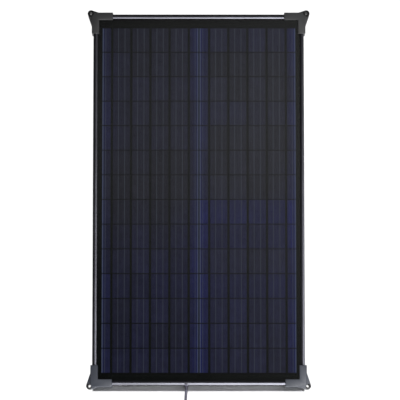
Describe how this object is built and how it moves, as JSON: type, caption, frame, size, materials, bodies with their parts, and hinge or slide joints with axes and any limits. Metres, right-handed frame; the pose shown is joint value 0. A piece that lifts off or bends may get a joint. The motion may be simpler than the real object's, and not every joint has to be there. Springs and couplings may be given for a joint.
{
  "type": "framed solar panel",
  "caption": "Rigid framed solar panel with dark cells in two columns behind glass, a black aluminium frame, moulded corner caps with eared screw holes, a rear junction box and an output cable.",
  "frame": {"origin": "on the surface that the panel lies on, under the middle of the panel with its corner caps (the free cable isn't counted)", "axes": "+Z out of the glass, +Y towards the top edge, along the long sides and away from the cable, +X to the right as seen from the front"},
  "size_m": [0.3632, 0.711, 0.03],
  "materials": {
    "solar_cell": "dark blue-grey multicrystalline silicon with fine silver gridlines, opaque",
    "front_glass": "clear smooth tempered glass",
    "encapsulant": "clear film over the black backsheet, shown dark",
    "backsheet": "matt black film",
    "coated_ribbon": "black coated solder ribbon",
    "tinned_copper": "tinned copper",
    "anodised_frame": "black anodised, satin",
    "corner_key": "mill finish",
    "cap_plastic": "dark grey moulded plastic, fine texture",
    "seal_rubber": "black rubber",
    "box_plastic": "black moulded plastic",
    "cable_sheath": "dark blue-grey cable sheath",
    "brass_contact": "plated contact"
  },
  "bodies": {
    "root": {"backsheet": "backsheet", "bus_lead_left": "coated_ribbon", "bus_lead_right": "coated_ribbon", "cable_coil": "cable_sheath", "cable_gland": "box_plastic", "cable_lead": "cable_sheath", "cable_tail": "cable_sheath", "cable_tie": "box_plastic", "cell_interconnect": "coated_ribbon", "cell_left_01": "solar_cell", "cell_left_02": "solar_cell", "cell_left_03": "solar_cell", "cell_left_04": "solar_cell", "cell_left_05": "solar_cell", "cell_left_06": "solar_cell", "cell_left_07": "solar_cell", "cell_left_08": "solar_cell", "cell_left_09": "solar_cell", "cell_left_10": "solar_cell", "cell_left_11": "solar_cell", "cell_left_12": "solar_cell", "cell_left_13": "solar_cell", "cell_left_14": "solar_cell", "cell_right_01": "solar_cell", "cell_right_02": "solar_cell", "cell_right_03": "solar_cell", "cell_right_04": "solar_cell", "cell_right_05": "solar_cell", "cell_right_06": "solar_cell", "cell_right_07": "solar_cell", "cell_right_08": "solar_cell", "cell_right_09": "solar_cell", "cell_right_10": "solar_cell", "cell_right_11": "solar_cell", "cell_right_12": "solar_cell", "cell_right_13": "solar_cell", "cell_right_14": "solar_cell", "connector_housing": "box_plastic", "connector_pin": "brass_contact", "corner_cap_bottom_left": "cap_plastic", "corner_cap_bottom_right": "cap_plastic", "corner_cap_top_left": "cap_plastic", "corner_cap_top_right": "cap_plastic", "corner_key_bottom_left": "corner_key", "corner_key_bottom_right": "corner_key", "corner_key_top_left": "corner_key", "corner_key_top_right": "corner_key", "edge_seal": "seal_rubber", "exit_bushing": "seal_rubber", "front_encapsulant": "encapsulant", "front_glass": "front_glass", "inner_lead": "cable_sheath", "junction_box_base": "box_plastic", "junction_box_lid": "box_plastic", "rail_bottom": "anodised_frame", "rail_left": "anodised_frame", "rail_right": "anodised_frame", "rail_top": "anodised_frame", "rear_encapsulant": "encapsulant", "terminal_block": "tinned_copper"}
  },
  "joints": []
}
